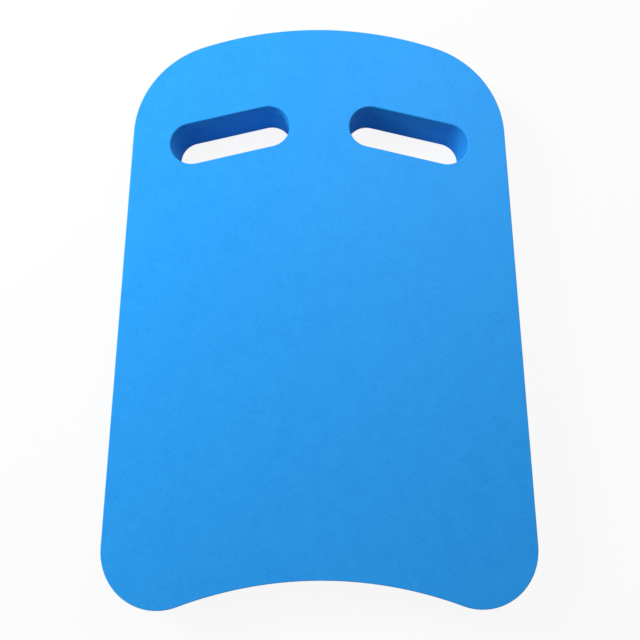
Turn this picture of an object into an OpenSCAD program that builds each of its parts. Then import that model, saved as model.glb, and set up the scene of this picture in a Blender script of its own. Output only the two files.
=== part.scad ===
// Swimming kickboard: a flat foam float with a domed nose, tapered sides, a hollowed tail and two hand slots.
// Three foam sheets are bonded face to face by two glue films and die cut together, so all share one outline.
// Origin at the middle of the underside, +Y towards the nose, +Z up through the thickness. Millimetres.

/* [Board outline] */
// Length of the board, from the nose tip to the ends of the tail corners
board_length = 430; // [370:1:520]
// Width of the board, across the tail corners
board_width = 300; // [275:1:360]
// Angle by which each straight side leans in towards the nose, in degrees
side_taper = 1.4; // [0.2:0.1:3]
// Radius of the dome across the nose
nose_radius = 274; // [225:1:330]
// Radius of the shoulder between the nose dome and a side
shoulder_radius = 77; // [50:1:95]
// Radius of each tail corner
tail_corner_radius = 40; // [25:1:55]
// Radius of the hollow across the tail
tail_hollow_radius = 292; // [220:1:500]

/* [Hand slots] */
// Length of a hand slot, end to end
slot_length = 92.5; // [70:0.5:112]
// Width of a hand slot
slot_width = 32.5; // [24:0.5:40]
// Distance between the middles of the two slots
slot_spacing = 137; // [112:1:165]
// Distance from the nose tip to the middles of the slots
slot_from_nose = 89; // [65:1:150]
// Angle by which the outer end of each slot is turned towards the tail, in degrees
slot_angle = 13.7; // [0:0.1:25]

/* [Layers] */
// Thickness of the upper foam sheet
deck_thickness = 10.6; // [5:0.1:16]
// Thickness of the middle foam sheet
core_thickness = 10.6; // [5:0.1:20]
// Thickness of the lower foam sheet
base_thickness = 10.6; // [5:0.1:16]
// Thickness of each glue film
glue_thickness = 0.1; // [0.05:0.05:0.5]

/* [Hidden] */
$fn = 180;
foam_blue = [0.18, 0.6, 0.93];
core_blue = [0.15, 0.55, 0.88];
glue_blue = [0.35, 0.66, 0.88];

// Height of the underside of each layer, stacked from the bottom up
base_z = 0;
lower_glue_z = base_z + base_thickness;
core_z = lower_glue_z + glue_thickness;
upper_glue_z = core_z + core_thickness;
deck_z = upper_glue_z + glue_thickness;

// How far a cut runs past each face
cut_past = 1;
// How far the shoulder and corner arcs overlap their neighbours, so that each pair crosses at a clean point
joint_overlap = 0.002;
shoulder_joint = shoulder_radius - joint_overlap;
corner_joint = tail_corner_radius - joint_overlap;

// Centres of the arcs, on the right half of the outline
nose_centre = [0, board_length / 2 - nose_radius];
corner_centre = [board_width / 2 - tail_corner_radius, tail_corner_radius - board_length / 2];
hollow_reach = tail_hollow_radius + corner_joint;
hollow_centre = [0, corner_centre.y - sqrt(hollow_reach ^ 2 - corner_centre.x ^ 2)];

// The shoulder's centre runs along a line parallel to the side until its arc touches the nose dome from inside
side_normal = [cos(side_taper), sin(side_taper)];
side_run = [-sin(side_taper), cos(side_taper)];
shoulder_start = corner_centre + (corner_joint - shoulder_joint) * side_normal;
from_nose = shoulder_start - nose_centre;
run_back = from_nose * side_run;
shoulder_run = sqrt(run_back ^ 2 - from_nose * from_nose + (nose_radius - shoulder_joint) ^ 2) - run_back;
shoulder_centre = shoulder_start + shoulder_run * side_run;

// Points where one stretch of the outline runs into the next, with the arcs' centres between them
nose_end = nose_centre + nose_radius * unit(shoulder_centre - nose_centre);
side_top = shoulder_centre + shoulder_joint * side_normal;
side_bottom = corner_centre + corner_joint * side_normal;
hollow_end = hollow_centre + tail_hollow_radius * unit(corner_centre - hollow_centre);
half_frame = [nose_end, shoulder_centre, side_top, side_bottom, corner_centre, hollow_end];

function unit(v) = v / norm(v);
function mirrored(points) = [for (i = [len(points) - 1:-1:0]) [-points[i].x, points[i].y]];

// A shape drawn on the right of the board, and its mirror image on the left
module left_and_right() {
    children();
    mirror([1, 0, 0]) children();
}

// Dome of the nose, as a sector as wide as the dome's own arc
module nose_dome(thickness) {
    past_arc = 2 * (nose_end - nose_centre);
    translate(nose_centre)
        intersection() {
            cylinder(r = nose_radius, h = thickness);
            linear_extrude(height = thickness) polygon([[0, 0], past_arc, [-past_arc.x, past_arc.y]]);
        }
}

// Cutter for the hollow across the tail
module tail_hollow(thickness) {
    translate([hollow_centre.x, hollow_centre.y, -cut_past])
        cylinder(r = tail_hollow_radius, h = thickness + 2 * cut_past);
}

// Cutter for one round-ended hand slot, on the right of the board
module hand_slot(thickness) {
    straight = slot_length - slot_width;
    translate([slot_spacing / 2, board_length / 2 - slot_from_nose, -cut_past])
        rotate(-slot_angle)
            linear_extrude(height = thickness + 2 * cut_past) {
                square([straight, slot_width], center = true);
                for (end = [-1, 1]) translate([end * straight / 2, 0]) circle(d = slot_width);
            }
}

// A layer of the board, cut to the common outline with both slots through it
module layer(underside, thickness) {
    translate([0, 0, underside])
        difference() {
            union() {
                linear_extrude(height = thickness) polygon(concat(half_frame, mirrored(half_frame)));
                nose_dome(thickness);
                left_and_right() {
                    translate(shoulder_centre) cylinder(r = shoulder_radius, h = thickness);
                    translate(corner_centre) cylinder(r = tail_corner_radius, h = thickness);
                }
            }
            tail_hollow(thickness);
            left_and_right() hand_slot(thickness);
        }
}

// Upper foam sheet, which the hands and forearms lie on
module deck_sheet() {
    color(foam_blue) layer(deck_z, deck_thickness);
}

// Glue between the upper and middle sheets
module upper_glue_film() {
    color(glue_blue) layer(upper_glue_z, glue_thickness);
}

// Middle foam sheet
module core_sheet() {
    color(core_blue) layer(core_z, core_thickness);
}

// Glue between the middle and lower sheets
module lower_glue_film() {
    color(glue_blue) layer(lower_glue_z, glue_thickness);
}

// Lower foam sheet, whose underside the board lies on
module base_sheet() {
    color(foam_blue) layer(base_z, base_thickness);
}

deck_sheet();
upper_glue_film();
core_sheet();
lower_glue_film();
base_sheet();
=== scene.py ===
"""A foam swimming kickboard: three die cut foam sheets bonded by two glue films, lying on a pale floor."""

from math import atan2, cos, pi, radians, sin, sqrt

import bpy
from mathutils import Matrix, Vector


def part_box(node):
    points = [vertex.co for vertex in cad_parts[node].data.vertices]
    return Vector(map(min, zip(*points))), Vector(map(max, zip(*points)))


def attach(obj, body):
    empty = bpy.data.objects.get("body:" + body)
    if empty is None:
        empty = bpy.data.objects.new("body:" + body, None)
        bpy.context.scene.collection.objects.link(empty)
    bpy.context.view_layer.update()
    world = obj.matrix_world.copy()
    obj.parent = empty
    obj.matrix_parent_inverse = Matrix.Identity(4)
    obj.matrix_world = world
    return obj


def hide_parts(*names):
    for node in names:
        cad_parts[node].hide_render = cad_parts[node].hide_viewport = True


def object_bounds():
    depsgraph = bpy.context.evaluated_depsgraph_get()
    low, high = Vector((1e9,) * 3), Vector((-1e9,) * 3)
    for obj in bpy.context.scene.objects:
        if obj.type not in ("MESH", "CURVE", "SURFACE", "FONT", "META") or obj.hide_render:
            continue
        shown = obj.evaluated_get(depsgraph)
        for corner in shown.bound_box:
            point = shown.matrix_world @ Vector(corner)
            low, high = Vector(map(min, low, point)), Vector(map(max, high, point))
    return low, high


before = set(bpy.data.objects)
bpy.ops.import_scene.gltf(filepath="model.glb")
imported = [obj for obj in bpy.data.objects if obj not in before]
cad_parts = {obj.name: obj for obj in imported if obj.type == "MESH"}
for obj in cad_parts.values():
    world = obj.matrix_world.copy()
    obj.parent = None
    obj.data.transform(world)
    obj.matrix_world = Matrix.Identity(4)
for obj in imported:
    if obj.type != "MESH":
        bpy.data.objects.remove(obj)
cad_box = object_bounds()

# The board's outline, in metres. Its overall sizes come from the frame
BOARD_WIDTH, BOARD_LENGTH, BOARD_THICKNESS = cad_box[1] - cad_box[0]
SIDE_TAPER = radians(1.4)
NOSE_RADIUS = 0.274
SHOULDER_RADIUS = 0.077
TAIL_CORNER_RADIUS = 0.040
TAIL_HOLLOW_RADIUS = 0.292

# The hand slots
SLOT_LENGTH = 0.0925
SLOT_WIDTH = 0.0325
SLOT_SPACING = 0.137
SLOT_FROM_NOSE = 0.089
SLOT_ANGLE = radians(13.7)

# Rounding of the deck's edges, of the crisper edges below where the die leaves, and of those at a bond line
DECK_EASE = 0.0009
UNDERSIDE_EASE = 0.0005
BOND_EASE = 0.00007
# How far the die leaves a wall hollow at mid thickness, and how far it wanders off its line
WALL_DISH = 0.0003
EDGE_WAVER = 0.00008
WAVER_LENGTH = 0.03
# Soft unevenness of an open foam face, and the length over which it comes and goes
FACE_SWELL = 0.00012
SWELL_LENGTH = 0.05
# How far the glue stays back from the cut wall, and the rounding of its edge
GLUE_SET_BACK = 0.00006
GLUE_EASE = 0.00003

# Fineness of the meshes: points along the die, cells of an open and of a bonded face, rows round an edge
DIE_STEP = 0.0016
OPEN_CELL = 0.004
BONDED_CELL = 0.012
EASE_STEPS = 5
WALL_ROWS = 6
# Flat land left beside an eased edge, as a share of its rounding
EASE_LAND = 0.3
# Gap between a face's square cells and its rim, as a share of a cell, and the distance that welds points
RIM_GAP = 0.6
WELD = 1e-6

# Colours, as linear red, green and blue
FOAM_PALE = (0.025, 0.338, 0.845, 1.0)
FOAM_DEEP = (0.016, 0.270, 0.75, 1.0)
# Cut walls: the foam's blue made darker and duller, as painted shade on the upright walls
PAINTED_SHADE_WALL_PALE = (0.015, 0.300, 0.74, 1.0)
PAINTED_SHADE_WALL_DEEP = (0.010, 0.240, 0.65, 1.0)
GLUE_CLEAR = (0.03, 0.30, 0.70, 1.0)
GLUE_CLOUDY = (0.08, 0.38, 0.74, 1.0)
FLOOR_WHITE = (0.7, 0.7, 0.7, 1.0)
WHITE = (1.0, 1.0, 1.0, 1.0)

# Grain of the foam: its cells, the clumps and patches that they gather in, and the slow drift of the dye
CELL_SIZE = 0.00045
CLUMP_SIZE = 0.0026
PATCH_SIZE = 0.012
DRIFT_SIZE = 0.06
# Burst cells, large and small: their spacing, and the width of the widest
LARGE_BURST_SPACING = 0.008
LARGE_BURST_WIDTH = 0.007
SMALL_BURST_SPACING = 0.004
SMALL_BURST_WIDTH = 0.0034
# Depth of a small burst cell, as a share of a large one's
SMALL_BURST_DEPTH = 0.6
# How far the rims of burst cells are pulled out of round, and the size of the pulls
RIM_PULL = 0.004
RIM_PULL_SIZE = 0.003
# Scores that the die leaves down a cut wall: their width, and that width as a share of their length
SCORE_WIDTH = 0.0013
SCORE_SLIMNESS = 0.12

# How strongly the grain shows in the tone of an open face, and in that of a cut wall; burst cells darken it
# as painted shade in their hollows
CLUMP_TONE = 1.0
PATCH_TONE = 0.55
DRIFT_TONE = 0.25
BURST_PAINTED_SHADE = 0.2
WALL_SCORE_TONE = 0.4
WALL_PATCH_TONE = 0.4
WALL_BURST_PAINTED_SHADE = 0.18
# How high the grain stands, or how deep it lies
CELL_RELIEF = 0.000018
CLUMP_RELIEF = 0.000012
SCORE_RELIEF = 0.00003
BURST_RELIEF = 0.00008
# Roughness of the foam, how far its clumps vary it, what a cut adds to it, and the foam's faint shine
FOAM_ROUGHNESS = 0.6
CLUMP_ROUGHNESS = 0.12
CUT_ROUGHNESS = 0.15
FOAM_SHINE = 0.2

# Clouds in the dried glue, their relief, the roughness of clear glue and what the clouds add to it
GLUE_CLOUD_SIZE = 0.004
GLUE_CLOUD_RELIEF = 0.00003
GLUE_ROUGHNESS = 0.45
GLUE_CLOUD_ROUGHNESS = 0.2

# Detail of noise that is soft, as in a slow drift, and of noise that is finely broken up
SOFT = 2.0
FINE = 3.0

# Soft lamps, all turned to the board: where each stands, its width in metres and its power in watts
LAMPS = {
    "nose_lamp": {"place": (0.2, 0.45, 0.65), "size": 0.5, "power": 2.8},
    "side_lamp": {"place": (-0.765, 0.397, 0.564), "size": 0.25, "power": 9.4, "glares": False},
    "tail_lamp": {"place": (-0.963, -0.258, 0.465), "size": 0.3, "power": 1.5, "glares": False},
}
# Even light from all round, as a share of white
FILL_LIGHT = 0.246

# The camera: film width and lens length in millimetres, then its place and its height above the deck
FILM_WIDTH = 36.0
LENS_LENGTH = 27.82
CAMERA_X = -0.00188
CAMERA_Y = -0.06747
CAMERA_ABOVE_DECK = 0.3562
# Its turn about the upright, its tilt towards the nose and its lean to one side, from looking straight down
CAMERA_TURN = radians(-0.021)
CAMERA_TILT = radians(7.974)
CAMERA_LEAN = radians(-0.329)
NEAREST_SEEN = 0.01


class Wire:
    """A socket of a node tree. Sums on it add Math nodes, and node() adds any other node."""

    def __init__(self, tree, socket=None):
        self.tree = tree
        self.socket = socket

    def node(self, kind, sockets=None, out=0, **settings):
        """Output of a new node. Settings are set first, then each socket's value, link or list of links."""
        made = self.tree.nodes.new(kind)
        for name, value in settings.items():
            setattr(made, name, value)
        for key, given in (sockets or {}).items():
            for value in given if isinstance(given, list) else [given]:
                if isinstance(value, Wire):
                    self.tree.links.new(value.socket, made.inputs[key])
                else:
                    made.inputs[key].default_value = value
        return Wire(self.tree, made.outputs[out]) if made.outputs else None

    def other(self, name):
        """Another output of the same node."""
        return Wire(self.tree, self.socket.node.outputs[name])

    def maths(self, operation, *values):
        """The result of a Math node."""
        return self.node("ShaderNodeMath", dict(enumerate(values)), operation=operation)

    def __add__(self, other):
        return self.maths("ADD", self, other)

    def __radd__(self, other):
        return self.maths("ADD", other, self)

    def __sub__(self, other):
        return self.maths("SUBTRACT", self, other)

    def __rsub__(self, other):
        return self.maths("SUBTRACT", other, self)

    def __mul__(self, other):
        return self.maths("MULTIPLY", self, other)

    def __rmul__(self, other):
        return self.maths("MULTIPLY", other, self)

    def __truediv__(self, other):
        return self.maths("DIVIDE", self, other)

    def __lt__(self, other):
        return self.maths("LESS_THAN", self, other)

    def __gt__(self, other):
        return self.maths("GREATER_THAN", self, other)

    def __abs__(self):
        return self.maths("ABSOLUTE", self)

    def equals(self, whole):
        """1 where this is that whole number, and 0 elsewhere."""
        return self.maths("COMPARE", self, whole, 0.5)

    def part(self, axis):
        """One of the three numbers of a vector."""
        return self.node("ShaderNodeSeparateXYZ", {0: self}, out=axis)

    def vector(self, x=0.0, y=0.0, z=0.0):
        """A vector of three numbers."""
        return self.node("ShaderNodeCombineXYZ", {"X": x, "Y": y, "Z": z})

    def scaled(self, by):
        """A vector with its three numbers multiplied by three others."""
        return self.node("ShaderNodeVectorMath", {0: self, 1: by}, operation="MULTIPLY")

    def moved(self, by):
        """A vector with another added to it."""
        return self.node("ShaderNodeVectorMath", {0: self, 1: by}, operation="ADD")

    def bump(self, relief):
        """A surface's normal, tilted by a relief in metres."""
        return self.node("ShaderNodeBump", {"Strength": 1.0, "Distance": 1.0, "Height": relief})

    def mix(self, share, first, second):
        """One colour turning into another."""
        return self.node("ShaderNodeMix", {0: share, 6: first, 7: second}, out=2, data_type="RGBA")


# The die: one closed line round the board and one round each hand slot, all with the foam on their right


def arc(centre, radius, start, end):
    """Points along an arc from one angle to another. Its last point is left to the next stretch."""
    steps = max(2, round(abs(end - start) * radius / DIE_STEP))
    angles = [start + (end - start) * i / steps for i in range(steps)]
    return [centre + radius * Vector((cos(a), sin(a))) for a in angles]


def straight(start, end):
    """Points along a straight stretch, again without its last point."""
    steps = max(2, round((end - start).length / DIE_STEP))
    return [start.lerp(end, i / steps) for i in range(steps)]


def mirrored(points):
    """The same stretch on the other half of the board, still with the foam on its right."""
    return [Vector((-p.x, p.y)) for p in reversed(points)]


def angle_of(v):
    """Angle of a vector in plan, from the X axis."""
    return atan2(v.y, v.x)


def board_line():
    """The outline, from the nose tip down the right side to the tail's middle, and back up the left."""
    nose_centre = Vector((0, BOARD_LENGTH / 2 - NOSE_RADIUS))
    corner_centre = Vector((BOARD_WIDTH / 2 - TAIL_CORNER_RADIUS, TAIL_CORNER_RADIUS - BOARD_LENGTH / 2))
    hollow_reach = TAIL_HOLLOW_RADIUS + TAIL_CORNER_RADIUS
    hollow_centre = Vector((0, corner_centre.y - sqrt(hollow_reach ** 2 - corner_centre.x ** 2)))
    side_normal = Vector((cos(SIDE_TAPER), sin(SIDE_TAPER)))
    side_run = Vector((-sin(SIDE_TAPER), cos(SIDE_TAPER)))

    # The shoulder's centre runs up beside the side until its arc touches the nose dome from inside
    shoulder_start = corner_centre + (TAIL_CORNER_RADIUS - SHOULDER_RADIUS) * side_normal
    from_nose = shoulder_start - nose_centre
    run_back = from_nose.dot(side_run)
    reach = NOSE_RADIUS - SHOULDER_RADIUS
    shoulder_run = sqrt(run_back ** 2 - from_nose.length_squared + reach ** 2) - run_back
    shoulder_centre = shoulder_start + shoulder_run * side_run

    nose_angle = angle_of(shoulder_centre - nose_centre)
    hollow_angle = angle_of(corner_centre - hollow_centre)
    side_top = shoulder_centre + SHOULDER_RADIUS * side_normal
    side_bottom = corner_centre + TAIL_CORNER_RADIUS * side_normal
    right = arc(nose_centre, NOSE_RADIUS, pi / 2, nose_angle)
    right += arc(shoulder_centre, SHOULDER_RADIUS, nose_angle, SIDE_TAPER)
    right += straight(side_top, side_bottom)
    right += arc(corner_centre, TAIL_CORNER_RADIUS, SIDE_TAPER, hollow_angle - pi)
    right += arc(hollow_centre, TAIL_HOLLOW_RADIUS, hollow_angle, pi / 2)
    tail_middle = hollow_centre + Vector((0, TAIL_HOLLOW_RADIUS))
    return right + [tail_middle] + mirrored(right[1:])


def slot_line():
    """The right hand slot: two straight stretches and two half rounds, turned and moved to its place."""
    radius = SLOT_WIDTH / 2
    reach = Vector((SLOT_LENGTH / 2 - radius, 0))
    up = Vector((0, radius))
    line = straight(-reach - up, reach - up)
    line += arc(reach, radius, -pi / 2, pi / 2)
    line += straight(reach + up, up - reach)
    line += arc(-reach, radius, pi / 2, 3 * pi / 2)
    turn = Matrix.Rotation(-SLOT_ANGLE, 2)
    middle = Vector((SLOT_SPACING / 2, BOARD_LENGTH / 2 - SLOT_FROM_NOSE))
    return [middle + turn @ p for p in line]


def die_mesh():
    """The die's three closed lines, as loose edges."""
    points = []
    edges = []
    for line in (board_line(), slot_line(), mirrored(slot_line())):
        first = len(points)
        points += [p.to_3d() for p in line]
        edges += [(first + i, first + (i + 1) % len(line)) for i in range(len(line))]
    mesh = bpy.data.meshes.new("die_line")
    mesh.from_pydata(points, edges, [])
    return mesh


# The cutting of a sheet: one tree of nodes, which every foam sheet and glue film goes through

SHEET_SIZES = (
    "Board Width",
    "Board Length",
    "Board Thickness",
    "Underside",
    "Thickness",
    "Set Back",
    "Top Ease",
    "Bottom Ease",
    "Wall Dish",
    "Edge Waver",
    "Top Swell",
    "Bottom Swell",
    "Top Cell",
    "Bottom Cell",
)


def die_cut_tree():
    """Die line in, closed sheet out: swept walls with eased edges, and two faces meshed inside them."""
    tree = bpy.data.node_groups.new("die_cut_sheet", "GeometryNodeTree")
    tree.interface.new_socket("Die Line", in_out="INPUT", socket_type="NodeSocketGeometry")
    for name in SHEET_SIZES:
        tree.interface.new_socket(name, in_out="INPUT", socket_type="NodeSocketFloat")
    tree.interface.new_socket("Seed", in_out="INPUT", socket_type="NodeSocketInt")
    tree.interface.new_socket("Finish", in_out="INPUT", socket_type="NodeSocketMaterial")
    tree.interface.new_socket("Sheet", in_out="OUTPUT", socket_type="NodeSocketGeometry")

    inputs = tree.nodes.new("NodeGroupInput").outputs
    given = {socket.name: Wire(tree, socket) for socket in inputs if socket.name}
    wire = Wire(tree)
    new = wire.node
    position = new("GeometryNodeInputPosition")
    in_plan = position.scaled((1, 1, 0))
    height = position.part("Z")
    edge_faces = new("GeometryNodeInputMeshEdgeNeighbors")
    open_edge = edge_faces < 2
    underside = given["Underside"]
    thickness = given["Thickness"]
    topside = underside + thickness

    def unevenness(length, seed):
        """Noise from -1 to 1 over the plan of the board."""
        sockets = {"Vector": in_plan, "W": seed, "Scale": 1 / length, "Detail": SOFT}
        return 2 * new("ShaderNodeTexNoise", sockets, noise_dimensions="4D") - 1

    # The wall's section, from the lower face round both eased edges to the upper face. Its Y runs downwards
    back = given["Set Back"]
    lower_land = back + (1 + EASE_LAND) * given["Bottom Ease"]
    upper_land = back + (1 + EASE_LAND) * given["Top Ease"]
    corners = {
        "Point 1": wire.vector(lower_land, 0 - underside),
        "Point 2": wire.vector(back, 0 - underside),
        "Point 3": wire.vector(back, 0 - topside),
        "Point 4": wire.vector(upper_land, 0 - topside),
    }
    section = new("GeometryNodeCurvePrimitiveQuadrilateral", corners, mode="POINTS")
    section = new("GeometryNodeSetSplineCyclic", {"Geometry": section, "Cyclic": False})
    # Points are counted from 0, so the wall's rows come between point 1 and the one after it
    index = new("GeometryNodeInputIndex")
    lower_corner = index.equals(1)
    section = new("GeometryNodeSubdivideCurve", {"Curve": section, "Cuts": lower_corner * WALL_ROWS})
    upper_corner = index.equals(WALL_ROWS + 2)
    ease = lower_corner * given["Bottom Ease"] + upper_corner * given["Top Ease"]
    rounding = {"Curve": section, "Count": EASE_STEPS, "Radius": ease}
    section = new("GeometryNodeFilletCurve", rounding, mode="POLY")
    from_middle = 1 + 2 * position.part("Y") / given["Board Thickness"]
    dish = given["Wall Dish"] * (1 - from_middle * from_middle)
    section = new("GeometryNodeSetPosition", {"Geometry": section, "Offset": wire.vector(dish)})

    # The wall, swept along the die line with the blade's small wander
    line = new("GeometryNodeMeshToCurve", {"Mesh": given["Die Line"]})
    across_seed = given["Seed"]
    along_seed = across_seed + 7
    swell_seed = across_seed + 3
    wander = wire.vector(unevenness(WAVER_LENGTH, across_seed), unevenness(WAVER_LENGTH, along_seed))
    waver = given["Edge Waver"]
    wander = wander.scaled(wire.vector(waver, waver, 0.0))
    line = new("GeometryNodeSetPosition", {"Geometry": line, "Offset": wander})
    line = new("GeometryNodeSetCurveNormal", {"Curve": line}, mode="Z_UP")
    wall = new("GeometryNodeCurveToMesh", {"Curve": line, "Profile Curve": section})

    def face(level, on_side, cell):
        """A flat face inside the wall's rim: square cells, and a band of triangles from them to the rim."""
        rim = new("GeometryNodeMeshToCurve", {"Mesh": wall, "Selection": open_edge * on_side})
        rim = new("GeometryNodeSetPosition", {"Geometry": rim, "Position": in_plan})
        across = wire.maths("CEIL", given["Board Width"] / cell)
        along = wire.maths("CEIL", given["Board Length"] / cell)
        grid = {
            "Size X": across * cell,
            "Size Y": along * cell,
            "Vertices X": across + 1,
            "Vertices Y": along + 1,
        }
        cells = new("GeometryNodeMeshGrid", grid)
        filled = new("GeometryNodeFillCurve", {"Curve": rim})
        outside = new("GeometryNodeProximity", {"Geometry": filled}, out="Distance") > WELD
        rim_line = {"Geometry": new("GeometryNodeCurveToMesh", {"Curve": rim})}
        to_rim = new("GeometryNodeProximity", rim_line, out="Distance", target_element="EDGES")
        trimmed = {"Geometry": cells, "Selection": outside + (to_rim < RIM_GAP * cell)}
        cells = new("GeometryNodeDeleteGeometry", trimmed)
        no_face = new("GeometryNodeInputMeshVertexNeighbors", out="Face Count") < 1
        cells = new("GeometryNodeDeleteGeometry", {"Geometry": cells, "Selection": no_face})
        bare_edges = {"Geometry": cells, "Selection": edge_faces < 1}
        cells = new("GeometryNodeDeleteGeometry", bare_edges, domain="EDGE")
        border = new("GeometryNodeMeshToCurve", {"Mesh": cells, "Selection": open_edge})
        both_lines = new("GeometryNodeJoinGeometry", {"Geometry": [rim, border]})
        band = new("GeometryNodeFillCurve", {"Curve": both_lines})
        flat = new("GeometryNodeJoinGeometry", {"Geometry": [cells, band]})
        return new("GeometryNodeSetPosition", {"Geometry": flat, "Offset": wire.vector(z=level)})

    middle = underside + thickness / 2
    upper_face = face(topside, height > middle, given["Top Cell"])
    lower_face = face(underside, height < middle, given["Bottom Cell"])
    lower_face = new("GeometryNodeFlipFaces", {"Mesh": lower_face})
    sheet = new("GeometryNodeJoinGeometry", {"Geometry": [wall, upper_face, lower_face]})
    sheet = new("GeometryNodeMergeByDistance", {"Geometry": sheet, "Distance": WELD})

    # Soft unevenness of a face, always inwards, fading to nothing at the other face
    share = (height - underside) / thickness
    dip = 0.5 + 0.5 * unevenness(SWELL_LENGTH, swell_seed)
    sink = dip * (given["Bottom Swell"] * (1 - share) - given["Top Swell"] * share)
    sheet = new("GeometryNodeSetPosition", {"Geometry": sheet, "Offset": wire.vector(z=sink)})

    # How far each point belongs to a cut wall, for the finish to read; the finish also darkens it there as
    # painted shade
    upright = 1 - abs(new("GeometryNodeInputNormal").part("Z"))
    mark = {"Geometry": sheet, "Name": "cut_wall", "Value": upright}
    sheet = new("GeometryNodeStoreNamedAttribute", mark)
    sheet = new("GeometryNodeSetShadeSmooth", {"Geometry": sheet})
    sheet = new("GeometryNodeRealizeInstances", {"Geometry": sheet})
    sheet = new("GeometryNodeSetMaterial", {"Geometry": sheet, "Material": given["Finish"]})
    new("NodeGroupOutput", {"Sheet": sheet})
    return tree


def cut_sheet(name, node, finish, seed, **sizes):
    """One sheet or film, in the place of its CAD node, as a plain mesh."""
    low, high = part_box(node)
    values = dict.fromkeys(SHEET_SIZES, 0.0)
    values.update({
        "Board Width": BOARD_WIDTH,
        "Board Length": BOARD_LENGTH,
        "Board Thickness": BOARD_THICKNESS,
        "Underside": low.z,
        "Thickness": high.z - low.z,
        "Seed": seed,
        "Finish": finish,
    })
    values.update({key.replace("_", " ").title(): value for key, value in sizes.items()})
    piece = bpy.data.objects.new(name, DIE)
    bpy.context.scene.collection.objects.link(piece)
    cutting = piece.modifiers.new("cutting", "NODES")
    cutting.node_group = CUTTING
    for socket in CUTTING.interface.items_tree:
        if socket.name in values:
            cutting[socket.identifier] = values[socket.name]
    done = piece.evaluated_get(bpy.context.evaluated_depsgraph_get())
    mesh = bpy.data.meshes.new_from_object(done)
    mesh.name = name
    piece.modifiers.clear()
    piece.data = mesh
    return piece


# Finishes


def new_finish(name):
    """An empty material, and a wire to start its nodes from."""
    material = bpy.data.materials.new(name)
    material.use_nodes = True
    material.node_tree.nodes.clear()
    return material, Wire(material.node_tree)


def cloud(place, size, detail=FINE):
    """Noise from 0 to 1, in patches about this size."""
    return place.node("ShaderNodeTexNoise", {"Vector": place, "Scale": 1 / size, "Detail": detail})


def pores(place, spacing, widest):
    """Scattered burst cells of many widths: 1 at the bottom of each, falling to 0 at its rim."""
    distance = place.node("ShaderNodeTexVoronoi", {"Vector": place, "Scale": 1 / spacing}, out="Distance")
    chance = distance.other("Color").part("X")
    depth = distance.maths("MAXIMUM", 1 - distance / (chance * (widest / spacing / 2)), 0.0)
    return depth * depth * (3 - 2 * depth)


def foam_finish():
    """Matt closed-cell foam: split on its faces, die cut on its walls."""
    material, wire = new_finish("closed_cell_foam")
    place = wire.node("ShaderNodeTexCoord", out="Object")
    cut = wire.node("ShaderNodeAttribute", out="Fac", attribute_name="cut_wall")

    # Cells opened by the blade, their clumps and patches, the slow drift of the dye, burst cells and scores
    cells = wire.node("ShaderNodeTexVoronoi", {"Vector": place, "Scale": 1 / CELL_SIZE})
    clumps = cloud(place, CLUMP_SIZE)
    patches = cloud(place, PATCH_SIZE)
    drift = cloud(place, DRIFT_SIZE, SOFT)
    pull = wire.node("ShaderNodeTexNoise", {"Vector": place, "Scale": 1 / RIM_PULL_SIZE}, out="Color")
    ragged = place.moved(pull.scaled((RIM_PULL, RIM_PULL, RIM_PULL)))
    burst = pores(ragged, LARGE_BURST_SPACING, LARGE_BURST_WIDTH)
    burst += SMALL_BURST_DEPTH * pores(ragged, SMALL_BURST_SPACING, SMALL_BURST_WIDTH)
    scores = cloud(place.scaled((1.0, 1.0, SCORE_SLIMNESS)), SCORE_WIDTH)

    # Burst cells darken the tone as painted shade in their hollows, on faces and walls alike
    tone = 0.5 + CLUMP_TONE * (clumps - 0.5) + PATCH_TONE * (patches - 0.5)
    tone += DRIFT_TONE * (drift - 0.5) - BURST_PAINTED_SHADE * burst
    cut_tone = 0.5 + WALL_SCORE_TONE * (scores - 0.5) + WALL_PATCH_TONE * (patches - 0.5)
    cut_tone -= WALL_BURST_PAINTED_SHADE * burst
    face_colour = wire.mix(tone, FOAM_DEEP, FOAM_PALE)
    # Cut walls take darker blues than the open faces: painted shade on the upright walls, over their own
    # scores and patches
    shaded_wall_colour = wire.mix(cut_tone, PAINTED_SHADE_WALL_DEEP, PAINTED_SHADE_WALL_PALE)
    colour = wire.mix(cut, face_colour, shaded_wall_colour)
    roughness = FOAM_ROUGHNESS + CLUMP_ROUGHNESS * (clumps - 0.5) + CUT_ROUGHNESS * cut

    relief = CELL_RELIEF * cells + CLUMP_RELIEF * clumps
    relief += SCORE_RELIEF * scores * cut - BURST_RELIEF * burst
    sockets = {"Base Color": colour, "Roughness": roughness, "Normal": wire.bump(relief)}
    sockets["Specular IOR Level"] = FOAM_SHINE
    surface = wire.node("ShaderNodeBsdfPrincipled", sockets)
    wire.node("ShaderNodeOutputMaterial", {"Surface": surface})
    return material


def glue_finish():
    """Dried contact glue: dull, and cloudy where it lies thicker."""
    material, wire = new_finish("dried_glue")
    place = wire.node("ShaderNodeTexCoord", out="Object")
    cloudy = cloud(place, GLUE_CLOUD_SIZE)
    colour = wire.mix(cloudy, GLUE_CLEAR, GLUE_CLOUDY)
    roughness = GLUE_ROUGHNESS + GLUE_CLOUD_ROUGHNESS * cloudy
    normal = wire.bump(GLUE_CLOUD_RELIEF * cloudy)
    sockets = {"Base Color": colour, "Roughness": roughness, "Normal": normal}
    surface = wire.node("ShaderNodeBsdfPrincipled", sockets)
    wire.node("ShaderNodeOutputMaterial", {"Surface": surface})
    return material


# The board

DIE = die_mesh()
CUTTING = die_cut_tree()
FOAM = foam_finish()
GLUE = glue_finish()

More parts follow.
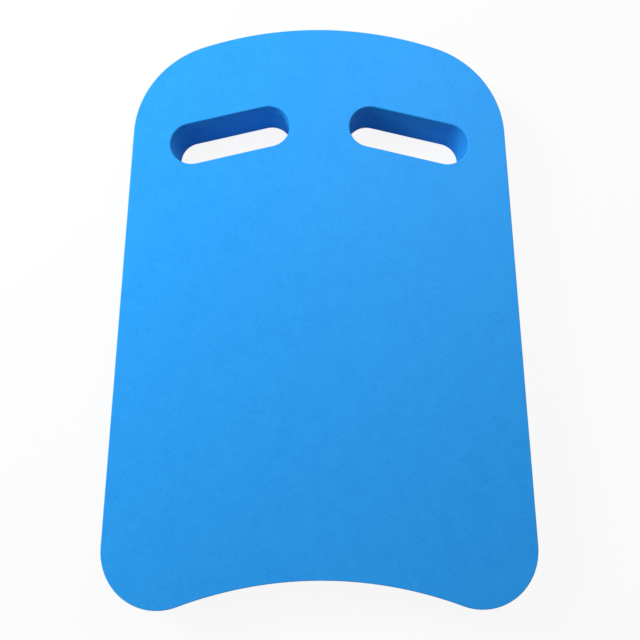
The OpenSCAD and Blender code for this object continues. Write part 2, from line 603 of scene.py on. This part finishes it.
foam_cut = {"wall_dish": WALL_DISH, "edge_waver": EDGE_WAVER}
open_top = {"top_ease": DECK_EASE, "top_cell": OPEN_CELL, "top_swell": FACE_SWELL}
open_bottom = {"bottom_ease": UNDERSIDE_EASE, "bottom_cell": OPEN_CELL, "bottom_swell": FACE_SWELL}
bonded_top = {"top_ease": BOND_EASE, "top_cell": BONDED_CELL}
bonded_bottom = {"bottom_ease": BOND_EASE, "bottom_cell": BONDED_CELL}
film = {"set_back": GLUE_SET_BACK, "top_ease": GLUE_EASE, "bottom_ease": GLUE_EASE}
film |= {"top_cell": BONDED_CELL, "bottom_cell": BONDED_CELL}

foam_pieces = {
    "deck_sheet": cut_sheet("deck_foam", "deck_sheet", FOAM, 1, **foam_cut, **open_top, **bonded_bottom),
    "core_sheet": cut_sheet("core_foam", "core_sheet", FOAM, 2, **foam_cut, **bonded_top, **bonded_bottom),
    "base_sheet": cut_sheet("base_foam", "base_sheet", FOAM, 3, **foam_cut, **bonded_top, **open_bottom),
}
glue_pieces = {
    "upper_glue_film": cut_sheet("upper_glue", "upper_glue_film", GLUE, 4, **foam_cut, **film),
    "lower_glue_film": cut_sheet("lower_glue", "lower_glue_film", GLUE, 5, **foam_cut, **film),
}
for pieces, slot in ((foam_pieces, "foam"), (glue_pieces, "glue")):
    for node, piece in pieces.items():
        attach(piece, "root")
        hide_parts(node)


# The studio: pale floor, white surroundings with an even fill, soft lamps and a camera above the board


def seen_directly(wire):
    """1 for what the camera sees, also in a reflection or through glass, and 0 for light on its way."""
    straight_on = wire.node("ShaderNodeLightPath", out="Is Camera Ray")
    mirrored_on = straight_on.other("Is Glossy Ray")
    through_glass = straight_on.other("Is Transmission Ray")
    return wire.maths("MAXIMUM", straight_on, wire.maths("MAXIMUM", mirrored_on, through_glass))


def floor():
    """A wide pale floor that keeps the board's soft shadow, and fades to white further off."""
    reach = 4.0
    drop = 0.0002
    shadow_reach = 0.35
    white_from = 1.2
    share_of_white = 0.9
    mesh = bpy.data.meshes.new("floor")
    corners = [(x * reach, y * reach, -drop) for x, y in ((-1, -1), (1, -1), (1, 1), (-1, 1))]
    mesh.from_pydata(corners, [], [(0, 1, 2, 3)])
    material, wire = new_finish("pale_floor")
    matt = wire.node("ShaderNodeBsdfDiffuse", {"Color": FLOOR_WHITE})
    white = wire.node("ShaderNodeEmission", {"Color": WHITE, "Strength": 1.0})
    place = wire.node("ShaderNodeTexCoord", out="Object")
    away = place.node("ShaderNodeVectorMath", {0: place}, out="Value", operation="LENGTH")
    fade = {"Value": away, "From Min": shadow_reach, "From Max": white_from, "To Min": share_of_white}
    whiteness = wire.node("ShaderNodeMapRange", fade, interpolation_type="SMOOTHSTEP")
    surface = wire.node("ShaderNodeMixShader", {0: seen_directly(wire) * whiteness, 1: matt, 2: white})
    wire.node("ShaderNodeOutputMaterial", {"Surface": surface})
    mesh.materials.append(material)
    made = bpy.data.objects.new("floor", mesh)
    bpy.context.scene.collection.objects.link(made)


def surroundings():
    """White to the eye, and an even fill light on the board."""
    world = bpy.data.worlds.new("studio")
    world.use_nodes = True
    world.node_tree.nodes.clear()
    wire = Wire(world.node_tree)
    strength = FILL_LIGHT + (1 - FILL_LIGHT) * seen_directly(wire)
    light = wire.node("ShaderNodeBackground", {"Color": WHITE, "Strength": strength})
    wire.node("ShaderNodeOutputWorld", {"Surface": light})
    bpy.context.scene.world = world


def lamp(name, place, size, power, glares=True):
    """A square soft lamp turned to the board. One that doesn't glare lights it without shining in it."""
    light = bpy.data.lights.new(name, "AREA")
    light.size = size
    light.energy = power
    made = bpy.data.objects.new(name, light)
    made.location = place
    made.rotation_euler = (-Vector(place)).to_track_quat("-Z", "Y").to_euler()
    made.visible_glossy = glares
    bpy.context.scene.collection.objects.link(made)


def camera():
    """Above the tail half of the board, leaning a little towards the nose."""
    view = bpy.data.cameras.new("camera")
    view.sensor_width = FILM_WIDTH
    view.lens = LENS_LENGTH
    view.clip_start = NEAREST_SEEN
    made = bpy.data.objects.new("camera", view)
    turn = Matrix.Rotation(CAMERA_TURN, 4, "Z")
    tilt = Matrix.Rotation(CAMERA_TILT, 4, "X")
    lean = Matrix.Rotation(CAMERA_LEAN, 4, "Y")
    place = Matrix.Translation((CAMERA_X, CAMERA_Y, BOARD_THICKNESS + CAMERA_ABOVE_DECK))
    made.matrix_world = place @ turn @ tilt @ lean
    bpy.context.scene.collection.objects.link(made)
    bpy.context.scene.camera = made


floor()
surroundings()
for name, values in LAMPS.items():
    lamp(name, **values)
camera()
bpy.context.scene.view_settings.view_transform = "Standard"
